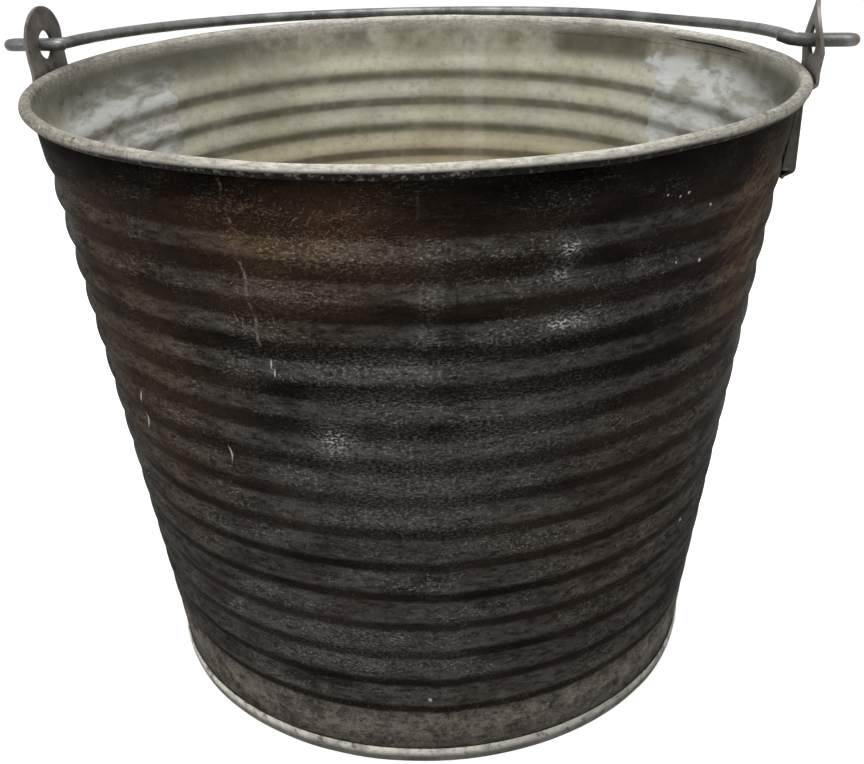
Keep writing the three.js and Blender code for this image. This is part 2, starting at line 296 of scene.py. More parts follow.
# the wall is one ribbed sheet, lapped at two seams and rolled over the rim wire
wallSet = {
    "footRadius": 117.8,
    "sheet": 0.6,
    "clearance": 0.3,
    "curlTurn": 305,
    "curlSteps": 24,
    "foot": 1.0,
    "ribs": 14,
    "ribPitch": 14.7,
    "ribDepth": 1.4,
    "firstGrooveDrop": 22,
    "front": -82,  # the angle that faces the camera
    "ribDrift": {"pivot": 140, "pivotRise": 72, "tilt": 0.09, "most": 3.5, "wave": 0.5},
    "grooveShape": (1.7, 0.7, 100, 180),  # power low down, how much less high up, heights between
    "flatRibs": (-12, 30, 0.45),  # angle, half width, share of the depth lost
    "outsideSteps": 10,  # rows of faces to a rib
    "insideSteps": 6,
    "columns": 264,
    "seams": (-80, 89),
    "seamWidth": 11,
    "seamStep": 0.7,
    "seamEdge": 0.6,
    "seamEdgeTurn": 0.22,  # degrees between the columns at an edge
    "seamEnds": (2, 9),  # above the hem and below the rim, where the step is full
    "hem": 7.3,
    "earRoom": (8, 16),  # degrees beside an ear where unevenness sets in
    "unevenness": 0.4,
    "fullyUneven": (30, 225),  # heights
    "beadSway": 0.8,
    "beadDrop": 0.7,
    "beadUnderside": (0.85, -0.35),  # turns round the bead where the painted shade under it begins and where it is full
    "beadWearDrop": 5,
    "dullBead": ((-152, 38, 1.0), (-26, 28, 0.75)),  # angle, half width, strength
    "workedFront": (-132, -108, -68, -42),  # from nothing to full and back
    "workedBack": (95, 50, 0.8),
    "outOfRound": (33, 17, 2.2, 90),  # where the rim is pressed in: angle, half width, depth, lowest height
    # marks below: angle, height, half width and half height in millimetres, strength
    "dents": [
        (-62, 190, 18, 16, 0.5), (-118, 150, 14, 14, 0.5), (-100, 95, 18, 18, 0.4), (-40, 120, 14, 20, 0.5),
        (140, 160, 21, 24, 0.7), (55, 90, 18, 22, 0.7), (-160, 120, 14, 25, 0.6), (20, 130, 16, 20, 0.5),
    ],
    "rubbed": [
        (-63.6, 224, 5, 4, 1.0), (-64.5, 215, 5, 4, 0.9), (-63.5, 197.5, 14, 4, 0.9), (-72, 195, 10, 4, 0.5),
        (-85, 186, 30, 4.5, 0.6), (-95, 156, 10, 10, 0.8), (-88, 172, 30, 5, 0.4), (-75, 160, 40, 25, 0.35),
        (-85, 140, 40, 25, 0.4), (-108, 182, 10, 6, 0.4), (-81, 226, 4, 5, 0.6), (-81, 211, 4, 5, 0.6),
        (-81.5, 197, 4, 5, 0.5), (-92, 226, 22, 5, 0.45), (-98, 211, 20, 4, 0.4), (-88, 67, 6, 4, 0.7),
        (-95, 60, 40, 12, 0.3), (-150, 225, 25, 18, 0.6), (30, 200, 30, 20, 0.5), (80, 150, 40, 30, 0.4),
        (130, 190, 30, 25, 0.5), (165, 130, 30, 30, 0.4), (-15, 150, 20, 30, 0.4),
    ],
    "browned": [
        (-97, 234, 42, 18, 1.0), (-100, 208, 30, 14, 0.3), (-26, 215, 24, 45, 0.8), (-130, 180, 34, 60, 0.5),
        (-45, 110, 40, 50, 0.2),
        (60, 225, 60, 20, 0.8), (150, 200, 30, 40, 0.6), (110, 90, 50, 30, 0.5),
    ],
    # soot spots; those just under the bead, at heights 243 and 246, are painted shadow there, and the last
    # two, broad and faint, darken the wall to the left and right of the front
    "sootAndShadeSpots": [
        (-80.4, 162.5, 6, 5, 0.95), (-79.1, 177, 8, 3.5, 1.0), (-101, 174.5, 9, 4, 1.0), (-81, 191, 6, 3, 0.6),
        (-108, 246, 10, 5, 0.5), (-60, 243, 40, 8, 0.6), (100, 175, 20, 8, 0.7), (40, 120, 20, 10, 0.6),
        (-128, 190, 40, 60, 0.12), (-45, 150, 40, 70, 0.12),
    ],
}
sheet = wallSet["sheet"]
curlInner = rimWire + wallSet["clearance"]
curlOuter = curlInner + sheet
wallTop = rimRadius - curlInner
taper = (wallTop - wallSet["footRadius"]) / rimHeight
firstGroove = rimHeight - wallSet["firstGrooveDrop"]
lastCrest = firstGroove - (wallSet["ribs"] + 0.5) * wallSet["ribPitch"]


def wallRadius(height):
    return wallTop - taper * (rimHeight - height)


def ribTurn(angle, height):
    # where a height lies on its rib, in radians: 0 at a groove, pi at a crest; the ribs don't run quite true
    drift = wallSet["ribDrift"]
    away = (1 - math.cos(math.radians(angle - wallSet["front"]))) / 2
    pivot = drift["pivot"] + drift["pivotRise"] * smoothStep(0.5, 1, away)
    shift = min(max(drift["tilt"] * away * (height - pivot), -drift["most"]), drift["most"])
    shift += drift["wave"] * wobble(angle, height, 110, 31)
    level = min(max(height + shift, lastCrest), firstGroove + wallSet["ribPitch"] / 2)
    return 2 * math.pi * (level - firstGroove) / wallSet["ribPitch"]


def groove(turn, height):  # 0 on a crest and on the plain bands, 1 at the bottom of a groove
    power, less, low, high = wallSet["grooveShape"]
    return (0.5 + 0.5 * math.cos(turn)) ** (power - less * smoothStep(low, high, height))


def ribDepth(angle):  # the ribs are flatter at the right
    middle, half, lost = wallSet["flatRibs"]
    return wallSet["ribDepth"] * (1 - lost * hump(turnBetween(angle, middle), 0, half))


def pressedIn(angle, height):  # the rim is pushed out of round behind the right ear, the foot isn't
    middle, half, depth, lowest = wallSet["outOfRound"]
    return depth * hump(turnBetween(angle, middle), 0, half) * smoothStep(lowest, rimHeight, height)


def clearOfEars(angle):  # 0 behind the ears, 1 away from them
    return smoothStep(*wallSet["earRoom"], min(abs(angle), 180 - abs(angle)))


def markAt(marks, angles, heights):
    total = np.zeros(len(angles))
    for middle, level, across, tall, strength in marks:
        aside = np.radians((angles - middle + 180) % 360 - 180) * wallRadius(level)
        spot = strength * np.exp(-((aside / across) ** 2) - ((heights - level) / tall) ** 2)
        total = np.maximum(total, spot)
    return total


def seamRise(angle, height):
    rise = 0
    half, edge = wallSet["seamWidth"] / 2, wallSet["seamEdge"]
    for seam in wallSet["seams"]:
        away = abs(math.radians(turnBetween(angle, seam))) * wallRadius(height)
        rise += smoothStep(half + edge, half - edge, away)
    aboveHem, belowRim = wallSet["seamEnds"]
    atFoot = smoothStep(wallSet["hem"], wallSet["hem"] + aboveHem, height)
    atRim = smoothStep(rimHeight - curlOuter, rimHeight - belowRim, height)
    return rise * wallSet["seamStep"] * atFoot * atRim


def wallColumns():
    angles = [360 * step / wallSet["columns"] - 180 for step in range(wallSet["columns"])]
    half, beside = math.degrees(wallSet["seamWidth"] / 2 / rimRadius), wallSet["seamEdgeTurn"]
    for seam in wallSet["seams"]:
        angles += [seam + edge * half + offset for edge in (-1, 1) for offset in (-beside, 0, beside)]
    return sorted(angles)


def makeWall():
    # rows go up the outside, round the inside of the curl, back over it, and down the inside
    tall = rimHeight - wallSet["foot"]

    def heights(steps):
        count = round(tall * steps / wallSet["ribPitch"])
        return [wallSet["foot"] + tall * row / count for row in range(count)]

    steps = wallSet["curlSteps"]
    curl = [math.radians(180 - wallSet["curlTurn"] * row / steps) for row in range(steps + 1)]
    outside = heights(wallSet["outsideSteps"])
    rows = [("outside", h, 0) for h in outside]
    rows += [("curl", turn, curlInner) for turn in curl[::3]]
    rows += [("curl", turn, curlOuter) for turn in curl[::-1]]
    rows += [("inside", h, 0) for h in heights(wallSet["insideSteps"])[::-1]]
    angles = wallColumns()
    allAngles = np.array([angle for _ in rows for angle in angles])
    allHeights = np.array([rimHeight if kind == "curl" else h for kind, h, _ in rows for _ in angles])
    marks = {name: markAt(wallSet[name], allAngles, allHeights) for name in ("rubbed", "browned", "sootAndShadeSpots")}
    pressed = markAt(wallSet["dents"], allAngles, allHeights)
    points, flat = [], []
    # slopes that face up outside, which carry painted light; the bead; its underside, which carries painted
    # shade; where it is dull; where the wall is worked over
    lee, rim, under, dull, worked = [], [], [], [], []
    for kind, where, radius in rows:
        for angle in angles:
            turn = math.radians(angle)
            free = clearOfEars(angle)
            if kind == "curl":
                sway = free * min(0, wobble(angle, 0, 45, 9) - 0.1) * wallSet["beadSway"]
                drop = free * min(0, wobble(angle, 0, 38, 17) - 0.1) * wallSet["beadDrop"]
                reach = rimRadius + radius * math.cos(where) + sway - free * pressedIn(angle, rimHeight)
                height = rimHeight + radius * math.sin(where) + drop
                # away from the front, the painted shade under the bead starts lower round it
                aside = 1 - max(0, math.cos(math.radians(angle - wallSet["front"]))) ** 2
                begins, full = (turned - aside for turned in wallSet["beadUnderside"])
                slope, onRim, dark = 0.5, 1, smoothStep(begins, full, where)
            else:
                height = where
                phase = ribTurn(angle, where)
                low, high = wallSet["fullyUneven"]
                free *= smoothStep(wallSet["hem"], low, where) * smoothStep(rimHeight, high, where)
                reach = wallRadius(where) - ribDepth(angle) * groove(phase, where)
                reach -= free * pressedIn(angle, where)
                reach += free * (wallSet["unevenness"] * wobble(angle, where, 60, 3) - pressed[len(points)])
                reach += seamRise(angle, where) if kind == "outside" else -sheet
                slope = 0.5 - 0.5 * math.sin(phase)
                wornFrom = rimHeight - wallSet["beadWearDrop"]
                onRim = smoothStep(wornFrom, rimHeight, where) if kind == "inside" else 0
                dark = 0
            points.append((reach * math.cos(turn), reach * math.sin(turn), height))
            flat.append((turn * rimRadius * mm, height * mm))
            lee.append(slope)
            rim.append(onRim)
            under.append(dark)
            start, full, until, stop = wallSet["workedFront"]
            front = smoothStep(start, full, angle) * smoothStep(stop, until, angle)
            middle, half, strength = wallSet["workedBack"]
            worked.append(max(front, strength * hump(turnBetween(angle, middle), 0, half)))
            dull.append(sum(strength * hump(turnBetween(angle, middle), 0, half)
                            for middle, half, strength in wallSet["dullBead"]))
    marks.update({"lee": lee, "rim": rim, "under": under, "dull": dull, "worked": worked})
    marks["level"] = [p[2] / rimHeight for p in points]
    wall = newPiece("pail_wall", points, ringFaces(len(rows), len(angles), True), marks, flat)
    zone = [0 if row < len(outside) - 1 else 1 for row in range(len(rows)) for _ in angles]
    wall.data.polygons.foreach_set("material_index", zone)
    return wall


# the outside's dark patina: colours, and marks that are set one by one
patinaSet = {
    "gloss": 0.004,
    "grit": 0.1,  # depth of the finest bumps
    "black": (0.0042, 0.0028, 0.0022),
    "brownBlack": (0.0135, 0.0094, 0.0072),
    "dustAndHighlight": (0.054, 0.051, 0.047),
    "salt": (0.225, 0.216, 0.20),
    "footDirt": (0.20, 0.174, 0.142),
    "footCrust": (0.30, 0.272, 0.235),
    "rubbed": (0.20, 0.196, 0.185),
    "bareStar": (0.5, 0.5, 0.48),
    "hair": (0.25, 0.24, 0.22),
    "warming": (2.3, 1.6, 1.06),  # multiplies what is there
    "brown": (0.05, 0.031, 0.018),
    "gold": (0.22, 0.15, 0.085),
    "run": (0.105, 0.073, 0.048),
    "sootAndShadow": (0.0014, 0.0009, 0.0006),
    "speck": (0.34, 0.33, 0.30),
    "whiteMark": (0.36, 0.35, 0.32),
    "longScratch": (0.17, 0.15, 0.12),
    "pit": (0.006, 0.0045, 0.0038),
    "runsAt": ((133, -64, 212), (12, 26, 34), -26),  # place, size and turn
    "longScratchAt": ((-104.9, 0.4, 1.4, 90, 0.08), (-104.5, 0.4, 1.4, 90, 0.08)),
    "lapEdgeWidth": 0.35,
    # angle, share and tone of the lap's painted highlight line and its painted shade line
    "lapEdges": ((-82.4, 0.3, (0.13, 0.123, 0.112)), (-77.9, 0.5, (0.004, 0.003, 0.0025))),
    "whiteMarks": [  # angle, height, half width and half height in millimetres
        (-46.2, 235, 0.5, 0.5), (-47.6, 234.3, 0.4, 0.4), (-40.9, 228, 0.5, 0.5),
        (-41.5, 208.6, 0.65, 0.65), (-46.3, 210.6, 0.4, 0.4), (-28.5, 84.6, 0.7, 0.7),
        (-82.8, 34.7, 0.7, 0.7), (-50, 236, 0.35, 0.35), (-133.5, 142, 0.5, 3), (-133, 153, 0.4, 2),
        (-113.1, 143.3, 0.4, 3), (-103, 184.6, 0.3, 1.5), (-102.5, 181.6, 0.3, 1.3),
    ],
}


def hairScratches(tree, amount):
    lines = scratches(tree, 0.15, 6, 0.5, amount + 0.03, 3, 1.0)
    for turn, length, seed in ((-0.5, 4, 11), (0.8, 3.5, 23), (-1.1, 5, 37), (1.45, 4, 41)):
        lines = higher(tree, lines, scratches(tree, turn, length, 0.45, amount, seed, 1.2))
    return lines


def wallOutsideMaterial():
    paint = patinaSet
    material, tree, shader = newMaterial("dark_patina", 0.0, paint["gloss"])
    lee, level, worked, rubbed, browned, sootAndShadeSpots = (
        mark(tree, name) for name in ("lee", "level", "worked", "rubbed", "browned", "sootAndShadeSpots"))
    clouds = grain(tree, 22, 5, 0.6, stretch=(1, 1, 2.5))
    colour = blendColour(tree, spread(tree, clouds, 0.35, 0.65), paint["black"], paint["brownBlack"])
    # the slopes that face up are painted paler, in streaks: partly grey dust and wear, partly painted light
    # where the light from above falls on them; low down only the grooves stay dark
    streaks = grain(tree, 45, 6, 0.7, stretch=(1, 1, 4))
    fine = grain(tree, 1, 6, 0.75, 0.4, "UV", stretch=(6 * mm, 2 * mm, 1), way="TEXTURE")
    litSlopes = blendColour(tree, spread(tree, level, 0.35, 0.7),
                        spread(tree, lee, 0.08, 0.5), spread(tree, lee, 0.36, 0.9))
    patches = grain(tree, 38, 4, 0.6, shift=(0.3, 0.1, 0.7), stretch=(1, 1, 1.6))
    patches = spread(tree, patches, 0.4, 0.64)
    dustAndHighlight = times(tree, litSlopes, spread(tree, streaks, 0.3, 0.66, 0.2, 1.0),
                 spread(tree, fine, 0.34, 0.62, 0.3, 1.0), spread(tree, worked, 0.0, 1.0, 0.9, 1.0))
    colour = blendColour(tree, dustAndHighlight, colour, paint["dustAndHighlight"])
    salt = grain(tree, 1, 3, 0.75, 0, "UV", stretch=(1.6 * mm, 0.8 * mm, 1), way="TEXTURE")
    salted = times(tree, spread(tree, salt, 0.56, 0.72), spread(tree, lee, 0.15, 0.75, 0.2, 1.0),
                   spread(tree, patches, 0.0, 1.0, 0.25, 0.9), spread(tree, worked, 0.0, 1.0, 0.3, 1.0))
    colour = blendColour(tree, salted, colour, paint["salt"])
    # pale dirt and crust over the foot
    lower = times(tree, spread(tree, level, 0.16, 0.03),
                  spread(tree, grain(tree, 150, 6, 0.8), 0.36, 0.64, 0.1, 1.0),
                  spread(tree, level, 0.03, 0.09, 0.3, 1.0))
    # the pale foot dirt is laid only on the up-facing slopes, the same mask that carries the painted light
    # above
    colour = blendColour(tree, times(tree, lower, litSlopes), colour, paint["footDirt"])
    crust = times(tree, lower, spread(tree, salt, 0.52, 0.68), 0.8)
    colour = blendColour(tree, crust, colour, paint["footCrust"])
    # rubbed spots, bare in the middle
    pale = times(tree, rubbed, spread(tree, salt, 0.42, 0.66), 0.7)
    colour = blendColour(tree, pale, colour, paint["rubbed"])
    star = times(tree, spread(tree, rubbed, 0.55, 0.95), spread(tree, salt, 0.5, 0.62))
    colour = blendColour(tree, star, colour, paint["bareStar"])
    # fine hair scratches, in clusters
    broken = spread(tree, salt, 0.35, 0.6)
    clusters = higher(tree, times(tree, patches, 0.6), rubbed)
    lines = times(tree, hairScratches(tree, 0.12), broken, clusters,
                  spread(tree, lee, 0.1, 0.7, 0.35, 1.0), 0.7)
    colour = blendColour(tree, lines, colour, paint["hair"])
    # brown stain with golden scratches, and runs at the right
    warm = grain(tree, 30, 5, 0.65, shift=(0.6, 0.2, 0))
    warm = times(tree, browned, spread(tree, warm, 0.3, 0.6, 0.4, 1.0))
    colour = blendColour(tree, warm, colour, paint["warming"], "MULTIPLY")
    colour = blendColour(tree, times(tree, warm, 0.36), colour, paint["brown"])
    gold = higher(tree, scratches(tree, 0.9, 4, 0.5, 0.13, 57, 1.2),
                  scratches(tree, -0.3, 3, 0.45, 0.12, 71, 1.5))
    colour = blendColour(tree, times(tree, browned, gold, broken, 0.6), colour, paint["gold"])
    runs = times(tree, spotAt(tree, *paint["runsAt"], 0.6, 0.4, 60),
                 scratches(tree, 0.7, 26, 3.5, 0.22, 91, 0.8), 0.45)
    colour = blendColour(tree, runs, colour, paint["run"])
    # soot in spots, and painted shadow under the bead
    shade = times(tree, spread(tree, level, 0.915, 0.98), spread(tree, clouds, 0.3, 0.6, 1.0, 0.75),
                  spread(tree, browned, 0.3, 1.0, 1.0, 0.45))
    sootAndShadowMask = higher(tree, times(tree, sootAndShadeSpots, spread(tree, fine, 0.3, 0.6, 1.0, 0.5)), shade)
    colour = blendColour(tree, times(tree, sootAndShadowMask, 0.95), colour, paint["sootAndShadow"])
    # white specks and marks, and one long scratch
    colour = blendColour(tree, specks(tree, 130, 0.07, 0.05), colour, paint["speck"])
    for angle, height, wide, tall in paint["whiteMarks"]:
        turn = math.radians(angle)
        place = (wallRadius(height) * math.cos(turn), wallRadius(height) * math.sin(turn), height)
        spot = spotAt(tree, place, (3, wide, tall), angle, 0.5, 0.7, 1200)
        colour = blendColour(tree, spot, colour, paint["whiteMark"])
    line = times(tree, between(tree, *paint["longScratchAt"]), spread(tree, level, 0.71, 0.73),
                 spread(tree, grain(tree, 120, 4, 0.7), 0.42, 0.62),
                 spread(tree, salt, 0.35, 0.6, 0.25, 1.0), 0.85)
    colour = blendColour(tree, line, colour, paint["longScratch"])
    # the front lap's step gets a painted highlight along one edge and painted shade along the other
    for angle, share, tone in paint["lapEdges"]:
        edge = between(tree, (angle, 0.25, 1), (angle + paint["lapEdgeWidth"], 0.25, 1))
        edge = times(tree, edge, spread(tree, streaks, 0.46, 0.6), spread(tree, level, 0.62, 0.76),
                     spread(tree, lee, 0.35, 0.75), share)
        colour = blendColour(tree, edge, colour, tone)
    # uneven all over, finely
    colour = blendColour(tree, spread(tree, fine, 0.5, 0.3, 0.0, 0.6), colour, paint["pit"])
    bumps = grain(tree, 600, 4, 0.6)
    finishPaint(tree, shader, colour, spread(tree, streaks, 0.3, 0.7, 0.6, 0.42), bumps, paint["grit"])
    return material


# the inside and the bead: dull zinc, frosted, stained and rubbed
dullZincSet = {
    "gloss": 0.03,
    "grit": 0.15,
    "grey": (0.29, 0.275, 0.21),
    "pale": (0.41, 0.395, 0.315),
    "yellow": (0.44, 0.36, 0.20),
    "speckle": (0.15, 0.138, 0.10),
    "ribDirtAndShade": (0.105, 0.096, 0.07),
    "topBand": (0.12, 0.113, 0.085),
    "olive": (0.075, 0.066, 0.044),
    "underFrost": (0.21, 0.21, 0.195),
    "frost": (0.50, 0.51, 0.50),
    "wash": (0.095, 0.09, 0.07),
    "lap": (0.55, 0.54, 0.47),
    "flow": (0.04, 0.036, 0.028),
    "bead": (0.27, 0.255, 0.215),
    "beadRubbed": (0.52, 0.495, 0.435),
    "beadPit": (0.15, 0.14, 0.12),
    "beadStain": (0.16, 0.15, 0.128),
    "beadDull": (0.43, 0.42, 0.395),  # multiplies what is there
    "darkFleck": (0.05, 0.044, 0.036),
    "paleFleck": (0.36, 0.345, 0.305),
    "beadSootAndShadow": (0.008, 0.0066, 0.0055),
    "undersideGrit": (0.14, 0.132, 0.115),
    # two upright edges each: angle, softness, raggedness in millimetres and its fineness
    "oliveEdges": ((48, 3, 9, 45), (69, 5, 14, 80)),
    "leftFrost": ((150.5, 1.5, 55, 45), (-176, 9, 10)),
    "rightFrost": ((4, 9, 10), (45.5, 1.5, 55, 45)),
    "lapEdges": ((83.6, 1.5, 3), (87.7, 1.5, 3)),
    "flowEnds": ((20, 4), (70, 4)),
    "washes": ((178, 250), (148, 250), (5, 247)),  # angle and height
    "washReach": 149,
    "washSize": (22, 46, 12),
}


def beadColour(tree, along, pits):
    # rubbed pale in fine lines along it, dull and flecked at the sides; its top stands out bright against the
    # painted shade laid under it later
    paint = dullZincSet
    dull = mark(tree, "dull")
    worn = blendColour(tree, spread(tree, along, 0.3, 0.7), paint["bead"], paint["beadRubbed"])
    worn = blendColour(tree, spread(tree, pits, 0.46, 0.68, 0.0, 0.5), worn, paint["beadPit"])
    stain = spread(tree, grain(tree, 30, 4, 0.6), 0.48, 0.68, 0.0, 0.5)
    worn = blendColour(tree, stain, worn, paint["beadStain"])
    worn = blendColour(tree, dull, worn, paint["beadDull"], "MULTIPLY")
    flecks = grain(tree, 330, 5, 0.8, shift=(0.7, 0.1, 0.2))
    dulled = spread(tree, dull, 0.1, 0.6)
    worn = blendColour(tree, times(tree, spread(tree, flecks, 0.56, 0.64), dulled), worn, paint["darkFleck"])
    return blendColour(tree, times(tree, spread(tree, flecks, 0.42, 0.34), dulled), worn, paint["paleFleck"])


def zincInsideMaterial():
    paint = dullZincSet
    material, tree, shader = newMaterial("dull_zinc", 0.0, paint["gloss"])
    rim, lee, level, under = (mark(tree, name) for name in ("rim", "lee", "level", "under"))
    clouds = grain(tree, 18, 5, 0.6, stretch=(1, 1, 1.6))
    colour = blendColour(tree, spread(tree, clouds, 0.35, 0.65), paint["grey"], paint["pale"])
    yellow = times(tree, spread(tree, level, 0.82, 0.70, 0.0, 0.6),
                   spread(tree, level, 0.25, 0.68, 0.25, 1.0))
    colour = blendColour(tree, yellow, colour, paint["yellow"])
    speckle = spread(tree, grain(tree, 240, 6, 0.75), 0.45, 0.72, 0.0, 0.45)
    colour = blendColour(tree, speckle, colour, paint["speckle"])
    # dirt and painted shade under each rib, on the slopes that face down, and a dark olive band under the bead
    torn = grain(tree, 75, 5, 0.65)
    dirtAndShade = times(tree, spread(tree, lee, 0.5, 0.95), spread(tree, torn, 0.25, 0.6, 0.5, 1.0), 0.8)
    colour = blendColour(tree, dirtAndShade, colour, paint["ribDirtAndShade"])
    band = times(tree, spread(tree, level, 0.925, 0.97), spread(tree, torn, 0.36, 0.62, 1.0, 0.3), 0.85)
    colour = blendColour(tree, band, colour, paint["topBand"])
    olive = times(tree, between(tree, *paint["oliveEdges"]), spread(tree, level, 0.925, 0.955), 0.82)
    colour = blendColour(tree, olive, colour, paint["olive"])
    # frosted white bloom at both sides, in lumps, with a sharp edge towards the back
    lumps = grain(tree, 1, 4, 0.62, 0.2, "UV", stretch=(24 * mm, 9 * mm, 1), way="TEXTURE")
    ends = plus(tree, level, times(tree, torn, 0.5))
    frost = higher(tree, between(tree, *paint["leftFrost"]), between(tree, *paint["rightFrost"]))
    frost = times(tree, frost, spread(tree, level, 0.975, 0.945), spread(tree, ends, 0.7, 0.98),
                  spread(tree, lee, 0.55, 0.95, 1.0, 0.4))
    colour = blendColour(tree, times(tree, frost, 0.6), colour, paint["underFrost"])
    lumpy = times(tree, frost, spread(tree, lumps, 0.38, 0.58), 0.9)
    colour = blendColour(tree, lumpy, colour, paint["frost"])
    for angle, height in paint["washes"]:
        turn, reach = math.radians(angle), paint["washReach"]
        place = (reach * math.cos(turn), reach * math.sin(turn), height)
        wash = spotAt(tree, place, paint["washSize"], angle, 0.6, 0.35, 90)
        colour = blendColour(tree, times(tree, wash, 0.85), colour, paint["wash"])
    # the lap at the back is paler, and a thin flow line runs under the bead
    lap = times(tree, between(tree, *paint["lapEdges"]), 0.14)
    colour = blendColour(tree, lap, colour, paint["lap"])
    wave = plus(tree, level, times(tree, grain(tree, 40, 3, 0.6), 0.010))
    flow = times(tree, spread(tree, wave, 0.9822, 0.9830), spread(tree, wave, 0.9848, 0.9840),
                 between(tree, *paint["flowEnds"]), spread(tree, rim, 0.5, 0.2), 0.4)
    colour = blendColour(tree, flow, colour, paint["flow"])
    # the bead: painted shade and soot underneath, with some grit showing
    along = grain(tree, 1, 5, 0.7, 0.3, "UV", stretch=(6 * mm, 0.7 * mm, 1), way="TEXTURE")
    pits = grain(tree, 520, 4, 0.7, shift=(0.3, 0.3, 0.3))
    colour = blendColour(tree, rim, colour, beadColour(tree, along, pits))
    sootAndShadow = spread(tree, plus(tree, under, times(tree, along, 0.5)), 0.35, 1.05)
    sootAndShadow = times(tree, sootAndShadow, rim, spread(tree, under, 0.0, 0.3))
    colour = blendColour(tree, sootAndShadow, colour, paint["beadSootAndShadow"])
    grit = times(tree, sootAndShadow, spread(tree, pits, 0.5, 0.66), spread(tree, clouds, 0.35, 0.6), 0.7)
    colour = blendColour(tree, grit, colour, paint["undersideGrit"])
    bumps = plus(tree, grain(tree, 420, 4, 0.65), times(tree, along, rim))
    finishPaint(tree, shader, colour, spread(tree, clouds, 0.3, 0.7, 0.62, 0.45), bumps, paint["grit"])
    return material


# plainer zinc for the bottom and the rim wire
plainZincSet = {
    "gloss": 0.1,
    "grit": 0.15,
    "dark": (0.10, 0.093, 0.080),
    "light": (0.19, 0.18, 0.157),
    "worn": (0.66, 0.625, 0.555),
    "stain": (0.03, 0.027, 0.023),
    "wireTone": 1.3,
    "footTone": 0.75,
}


def zincMaterial(name, tone):
    paint = plainZincSet
    material, tree, shader = newMaterial(name, 0.0, paint["gloss"])
    clouds = grain(tree, 40, 5, 0.65)
    colour = blendColour(tree, spread(tree, clouds, 0.35, 0.65),
                         [c * tone for c in paint["dark"]], [c * tone for c in paint["light"]])
    pale = times(tree, mark(tree, "worn"), spread(tree, grain(tree, 120, 4, 0.65), 0.3, 0.6, 0.35, 1.0))
    colour = blendColour(tree, pale, colour, paint["worn"])
    stain = spread(tree, grain(tree, 220, 5, 0.7, shift=(0.1, 0.4, 0)), 0.5, 0.66, 0.0, 0.7)
    colour = blendColour(tree, stain, colour, paint["stain"])
    bumps = grain(tree, 420, 4, 0.65)
    finishPaint(tree, shader, colour, spread(tree, clouds, 0.3, 0.7, 0.65, 0.45), bumps, paint["grit"])
    return material


wall = makeWall()
wall.data.materials.append(wallOutsideMaterial())
dullZinc = zincInsideMaterial()
wall.data.materials.append(dullZinc)
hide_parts("wall")
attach(wall, "pail")
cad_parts["rim_wire"].data.materials.clear()
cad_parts["rim_wire"].data.materials.append(zincMaterial("wire_zinc", plainZincSet["wireTone"]))
print("wall made:", len(wall.data.polygons), "faces")


# the bottom is a raised pan whose flange is folded round the wall's foot
bottomSet = {
    "sheet": 0.7,
    "panHeight": 12,
    "panCorner": 3,
    "hemHeight": 7,
    "bend": 0.45,
    "hemBulge": 0.35,
    "hemSteps": 8,
    "hemWave": 0.25,
    "panWave": 0.8,
    "panWaveSize": 55,
    "wear": (4.6, 0.8),  # below the hem's top, where wear begins and is full
    "lessWorn": (0.6, -58, -82),  # share of the wear at the right, and the angles where it grows
    "columns": 180,
    "panRings": 14,
}


def makeBottom():
    thick, gap = bottomSet["sheet"], wallSet["clearance"]
    top, hem, corner = bottomSet["panHeight"], bottomSet["hemHeight"], bottomSet["panCorner"]

    def flangeOuter(z):
        return wallRadius(z) - sheet - gap

    def flangeInner(z):
        return flangeOuter(z) - thick

    def hemInner(z):
        return wallRadius(z) + gap

    def hemOuter(z):
        return hemInner(z) + thick

    under = top - thick
    rings = bottomSet["panRings"]
    edge = flangeInner(under) - corner
    start = [(edge * (ring + 0.5) / rings, under) for ring in range(rings)]
    steps = bottomSet["hemSteps"]
    levels = [hem * step / steps for step in range(1, steps)]
    bulge = [(hemOuter(z) + bottomSet["hemBulge"] * math.sin(math.pi * z / hem), z) for z in levels]
    shell = filleted([
        (edge, under), (flangeInner(top - corner), top - corner), (flangeInner(0), 0), (hemOuter(0), 0),
        *bulge, (hemOuter(hem), hem), (hemInner(hem), hem), (hemInner(thick), thick),
        (flangeOuter(thick), thick), (flangeOuter(top - corner), top - corner), (edge, top),
    ], bottomSet["bend"], 3)
    profile = start + shell + [(edge * (ring + 0.5) / rings, top) for ring in reversed(range(rings))]
    columns = bottomSet["columns"]
    begins, full = (hem - drop for drop in bottomSet["wear"])
    least, right, left = bottomSet["lessWorn"]
    points, worn = [], []
    for radius, z in profile:
        for column in range(columns):
            angle = 360 * column / columns - 180
            turn = math.radians(angle)
            inPan = smoothStep(edge, edge * 0.8, radius)
            onHem = smoothStep(hemInner(0) - 0.1, hemOuter(0), radius)
            reach = radius + onHem * bottomSet["hemWave"] * wobble(angle, z, 25, 5)
            flat = Vector((radius * math.cos(turn), radius * math.sin(turn), 0))
            sag = inPan * bottomSet["panWave"] * noise.noise(flat / bottomSet["panWaveSize"])
            points.append((reach * math.cos(turn), reach * math.sin(turn), z + sag))
            side = least + (1 - least) * smoothStep(right, left, angle)
            worn.append(smoothStep(begins, full, z) * onHem * side)
    rows = len(profile)
    faces = ringFaces(rows, columns, False)
    for row in (0, rows - 1):  # close both middles
        centre = len(points)
        points.append((0, 0, profile[row][1]))
        worn.append(0)
        ring = [row * columns + column for column in range(columns)]
        for column in range(columns):
            pair = (ring[column], ring[(column + 1) % columns])
            faces.append((pair[1], pair[0], centre) if row == 0 else (pair[0], pair[1], centre))
    return newPiece("pail_bottom", points, faces, {"worn": worn})


bottom = makeBottom()
bottom.data.materials.append(zincMaterial("foot_zinc", plainZincSet["footTone"]))
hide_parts("bottom")
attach(bottom, "pail")
print("bottom made:", len(bottom.data.polygons), "faces")


